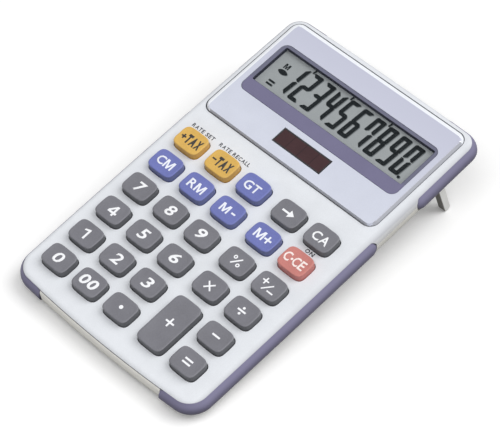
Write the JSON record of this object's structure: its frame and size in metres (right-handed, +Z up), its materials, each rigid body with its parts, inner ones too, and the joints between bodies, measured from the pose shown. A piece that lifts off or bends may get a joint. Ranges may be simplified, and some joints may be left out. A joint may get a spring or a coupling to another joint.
{
  "type": "desktop calculator",
  "caption": "Slim desktop calculator with a display and solar cell above a pad of raised keys, corner grips, and a fold-out stand underneath.",
  "frame": {"origin": "centre of the bounding box's bottom, on the surface that the calculator stands on with its stand folded out", "axes": "+X to the user's right, +Y away from the user, from the keys towards the display, +Z up; the case leans back 7.9 degrees about X on its stand"},
  "size_m": [0.112, 0.1776, 0.0366],
  "materials": {
    "cover_plastic": "pale silver-white, fine spark texture",
    "case_plastic": "warm pale grey, fine spark texture",
    "panel_plastic": "satin lavender silver",
    "lens_plastic": "clear window with a violet-grey printed border",
    "solar_window_plastic": "dark tinted, polished",
    "lcd_glass": "grey-green reflective display with dark segments",
    "solar_cell": "dark brown-violet, fine cell lines",
    "holder_plastic": "black, moulded",
    "ribbon_film": "amber film with printed tracks",
    "red_wire": "red insulation",
    "black_wire": "black insulation",
    "mat_rubber": "translucent grey silicone",
    "circuit_board": "green solder mask",
    "bright_steel": "bright",
    "contact_brass": "bright",
    "grip_rubber": "violet-grey, satin",
    "foot_rubber": "black, matt",
    "stand_plastic": "pale grey, satin",
    "key_grey": "mid grey, satin, white legend",
    "key_blue": "violet blue, satin, white legend",
    "key_amber": "amber, satin, black legend",
    "key_red": "coral red, satin, white legend"
  },
  "bodies": {
    "housing": {"top_cover": "cover_plastic", "rear_case": "case_plastic", "display_panel": "panel_plastic", "display_lens": "lens_plastic", "solar_window": "solar_window_plastic", "lcd_glass": "lcd_glass", "solar_cell": "solar_cell", "display_holder": "holder_plastic", "lcd_ribbon": "ribbon_film", "solar_lead_positive": "red_wire", "solar_lead_negative": "black_wire", "key_mat": "mat_rubber", "main_board": "circuit_board", "battery_cell": "bright_steel", "battery_contact_plus": "contact_brass", "battery_contact_minus": "contact_brass", "grip_front_left": "grip_rubber", "grip_front_right": "grip_rubber", "grip_rear_left": "grip_rubber", "grip_rear_right": "grip_rubber", "foot_front_left": "foot_rubber", "foot_front_right": "foot_rubber", "foot_rear_left": "foot_rubber", "foot_rear_right": "foot_rubber", "case_screw_1": "bright_steel", "case_screw_2": "bright_steel", "case_screw_3": "bright_steel", "case_screw_4": "bright_steel", "board_screw_1": "bright_steel", "board_screw_2": "bright_steel"},
    "key_0": {"key_0": "key_grey"},
    "key_00": {"key_00": "key_grey"},
    "key_point": {"key_point": "key_grey"},
    "key_equals": {"key_equals": "key_grey"},
    "key_1": {"key_1": "key_grey"},
    "key_2": {"key_2": "key_grey"},
    "key_3": {"key_3": "key_grey"},
    "key_minus": {"key_minus": "key_grey"},
    "key_4": {"key_4": "key_grey"},
    "key_5": {"key_5": "key_grey"},
    "key_6": {"key_6": "key_grey"},
    "key_multiply": {"key_multiply": "key_grey"},
    "key_divide": {"key_divide": "key_grey"},
    "key_7": {"key_7": "key_grey"},
    "key_8": {"key_8": "key_grey"},
    "key_9": {"key_9": "key_grey"},
    "key_percent": {"key_percent": "key_grey"},
    "key_sign": {"key_sign": "key_grey"},
    "key_memory_clear": {"key_memory_clear": "key_blue"},
    "key_memory_recall": {"key_memory_recall": "key_blue"},
    "key_memory_minus": {"key_memory_minus": "key_blue"},
    "key_memory_plus": {"key_memory_plus": "key_blue"},
    "key_clear": {"key_clear": "key_red"},
    "key_tax_add": {"key_tax_add": "key_amber"},
    "key_tax_subtract": {"key_tax_subtract": "key_amber"},
    "key_grand_total": {"key_grand_total": "key_blue"},
    "key_backspace": {"key_backspace": "key_grey"},
    "key_clear_all": {"key_clear_all": "key_grey"},
    "key_plus": {"key_plus": "key_grey"},
    "stand": {"stand": "stand_plastic"}
  },
  "joints": [
    {"name": "key_0_press", "type": "slide", "parent": "housing", "child": "key_0", "axis": [0, 0.1377, -0.9905], "range_m": [0, 0.0013], "stiffness_N_per_m": 600, "springref_m": -0.0004, "deforming": ["key_mat"]},
    {"name": "key_00_press", "type": "slide", "parent": "housing", "child": "key_00", "axis": [0, 0.1377, -0.9905], "range_m": [0, 0.0013], "stiffness_N_per_m": 600, "springref_m": -0.0004, "deforming": ["key_mat"]},
    {"name": "key_point_press", "type": "slide", "parent": "housing", "child": "key_point", "axis": [0, 0.1377, -0.9905], "range_m": [0, 0.0013], "stiffness_N_per_m": 600, "springref_m": -0.0004, "deforming": ["key_mat"]},
    {"name": "key_equals_press", "type": "slide", "parent": "housing", "child": "key_equals", "axis": [0, 0.1377, -0.9905], "range_m": [0, 0.0013], "stiffness_N_per_m": 600, "springref_m": -0.0004, "deforming": ["key_mat"]},
    {"name": "key_1_press", "type": "slide", "parent": "housing", "child": "key_1", "axis": [0, 0.1377, -0.9905], "range_m": [0, 0.0013], "stiffness_N_per_m": 600, "springref_m": -0.0004, "deforming": ["key_mat"]},
    {"name": "key_2_press", "type": "slide", "parent": "housing", "child": "key_2", "axis": [0, 0.1377, -0.9905], "range_m": [0, 0.0013], "stiffness_N_per_m": 600, "springref_m": -0.0004, "deforming": ["key_mat"]},
    {"name": "key_3_press", "type": "slide", "parent": "housing", "child": "key_3", "axis": [0, 0.1377, -0.9905], "range_m": [0, 0.0013], "stiffness_N_per_m": 600, "springref_m": -0.0004, "deforming": ["key_mat"]},
    {"name": "key_minus_press", "type": "slide", "parent": "housing", "child": "key_minus", "axis": [0, 0.1377, -0.9905], "range_m": [0, 0.0013], "stiffness_N_per_m": 600, "springref_m": -0.0004, "deforming": ["key_mat"]},
    {"name": "key_4_press", "type": "slide", "parent": "housing", "child": "key_4", "axis": [0, 0.1377, -0.9905], "range_m": [0, 0.0013], "stiffness_N_per_m": 600, "springref_m": -0.0004, "deforming": ["key_mat"]},
    {"name": "key_5_press", "type": "slide", "parent": "housing", "child": "key_5", "axis": [0, 0.1377, -0.9905], "range_m": [0, 0.0013], "stiffness_N_per_m": 600, "springref_m": -0.0004, "deforming": ["key_mat"]},
    {"name": "key_6_press", "type": "slide", "parent": "housing", "child": "key_6", "axis": [0, 0.1377, -0.9905], "range_m": [0, 0.0013], "stiffness_N_per_m": 600, "springref_m": -0.0004, "deforming": ["key_mat"]},
    {"name": "key_multiply_press", "type": "slide", "parent": "housing", "child": "key_multiply", "axis": [0, 0.1377, -0.9905], "range_m": [0, 0.0013], "stiffness_N_per_m": 600, "springref_m": -0.0004, "deforming": ["key_mat"]},
    {"name": "key_divide_press", "type": "slide", "parent": "housing", "child": "key_divide", "axis": [0, 0.1377, -0.9905], "range_m": [0, 0.0013], "stiffness_N_per_m": 600, "springref_m": -0.0004, "deforming": ["key_mat"]},
    {"name": "key_7_press", "type": "slide", "parent": "housing", "child": "key_7", "axis": [0, 0.1377, -0.9905], "range_m": [0, 0.0013], "stiffness_N_per_m": 600, "springref_m": -0.0004, "deforming": ["key_mat"]},
    {"name": "key_8_press", "type": "slide", "parent": "housing", "child": "key_8", "axis": [0, 0.1377, -0.9905], "range_m": [0, 0.0013], "stiffness_N_per_m": 600, "springref_m": -0.0004, "deforming": ["key_mat"]},
    {"name": "key_9_press", "type": "slide", "parent": "housing", "child": "key_9", "axis": [0, 0.1377, -0.9905], "range_m": [0, 0.0013], "stiffness_N_per_m": 600, "springref_m": -0.0004, "deforming": ["key_mat"]},
    {"name": "key_percent_press", "type": "slide", "parent": "housing", "child": "key_percent", "axis": [0, 0.1377, -0.9905], "range_m": [0, 0.0013], "stiffness_N_per_m": 600, "springref_m": -0.0004, "deforming": ["key_mat"]},
    {"name": "key_sign_press", "type": "slide", "parent": "housing", "child": "key_sign", "axis": [0, 0.1377, -0.9905], "range_m": [0, 0.0013], "stiffness_N_per_m": 600, "springref_m": -0.0004, "deforming": ["key_mat"]},
    {"name": "key_memory_clear_press", "type": "slide", "parent": "housing", "child": "key_memory_clear", "axis": [0, 0.1377, -0.9905], "range_m": [0, 0.0013], "stiffness_N_per_m": 600, "springref_m": -0.0004, "deforming": ["key_mat"]},
    {"name": "key_memory_recall_press", "type": "slide", "parent": "housing", "child": "key_memory_recall", "axis": [0, 0.1377, -0.9905], "range_m": [0, 0.0013], "stiffness_N_per_m": 600, "springref_m": -0.0004, "deforming": ["key_mat"]},
    {"name": "key_memory_minus_press", "type": "slide", "parent": "housing", "child": "key_memory_minus", "axis": [0, 0.1377, -0.9905], "range_m": [0, 0.0013], "stiffness_N_per_m": 600, "springref_m": -0.0004, "deforming": ["key_mat"]},
    {"name": "key_memory_plus_press", "type": "slide", "parent": "housing", "child": "key_memory_plus", "axis": [0, 0.1377, -0.9905], "range_m": [0, 0.0013], "stiffness_N_per_m": 600, "springref_m": -0.0004, "deforming": ["key_mat"]},
    {"name": "key_clear_press", "type": "slide", "parent": "housing", "child": "key_clear", "axis": [0, 0.1377, -0.9905], "range_m": [0, 0.0013], "stiffness_N_per_m": 600, "springref_m": -0.0004, "deforming": ["key_mat"]},
    {"name": "key_tax_add_press", "type": "slide", "parent": "housing", "child": "key_tax_add", "axis": [0, 0.1377, -0.9905], "range_m": [0, 0.0013], "stiffness_N_per_m": 600, "springref_m": -0.0004, "deforming": ["key_mat"]},
    {"name": "key_tax_subtract_press", "type": "slide", "parent": "housing", "child": "key_tax_subtract", "axis": [0, 0.1377, -0.9905], "range_m": [0, 0.0013], "stiffness_N_per_m": 600, "springref_m": -0.0004, "deforming": ["key_mat"]},
    {"name": "key_grand_total_press", "type": "slide", "parent": "housing", "child": "key_grand_total", "axis": [0, 0.1377, -0.9905], "range_m": [0, 0.0013], "stiffness_N_per_m": 600, "springref_m": -0.0004, "deforming": ["key_mat"]},
    {"name": "key_backspace_press", "type": "slide", "parent": "housing", "child": "key_backspace", "axis": [0, 0.1377, -0.9905], "range_m": [0, 0.0013], "stiffness_N_per_m": 600, "springref_m": -0.0004, "deforming": ["key_mat"]},
    {"name": "key_clear_all_press", "type": "slide", "parent": "housing", "child": "key_clear_all", "axis": [0, 0.1377, -0.9905], "range_m": [0, 0.0013], "stiffness_N_per_m": 600, "springref_m": -0.0004, "deforming": ["key_mat"]},
    {"name": "key_plus_press", "type": "slide", "parent": "housing", "child": "key_plus", "axis": [0, 0.1377, -0.9905], "range_m": [0, 0.0013], "stiffness_N_per_m": 600, "springref_m": -0.0004, "deforming": ["key_mat"]},
    {"name": "stand_fold", "type": "hinge", "parent": "housing", "child": "stand", "pos_m": [0, 0.06465, 0.02395], "axis": [-1, 0, 0], "range_deg": [0, 98.2]}
  ]
}
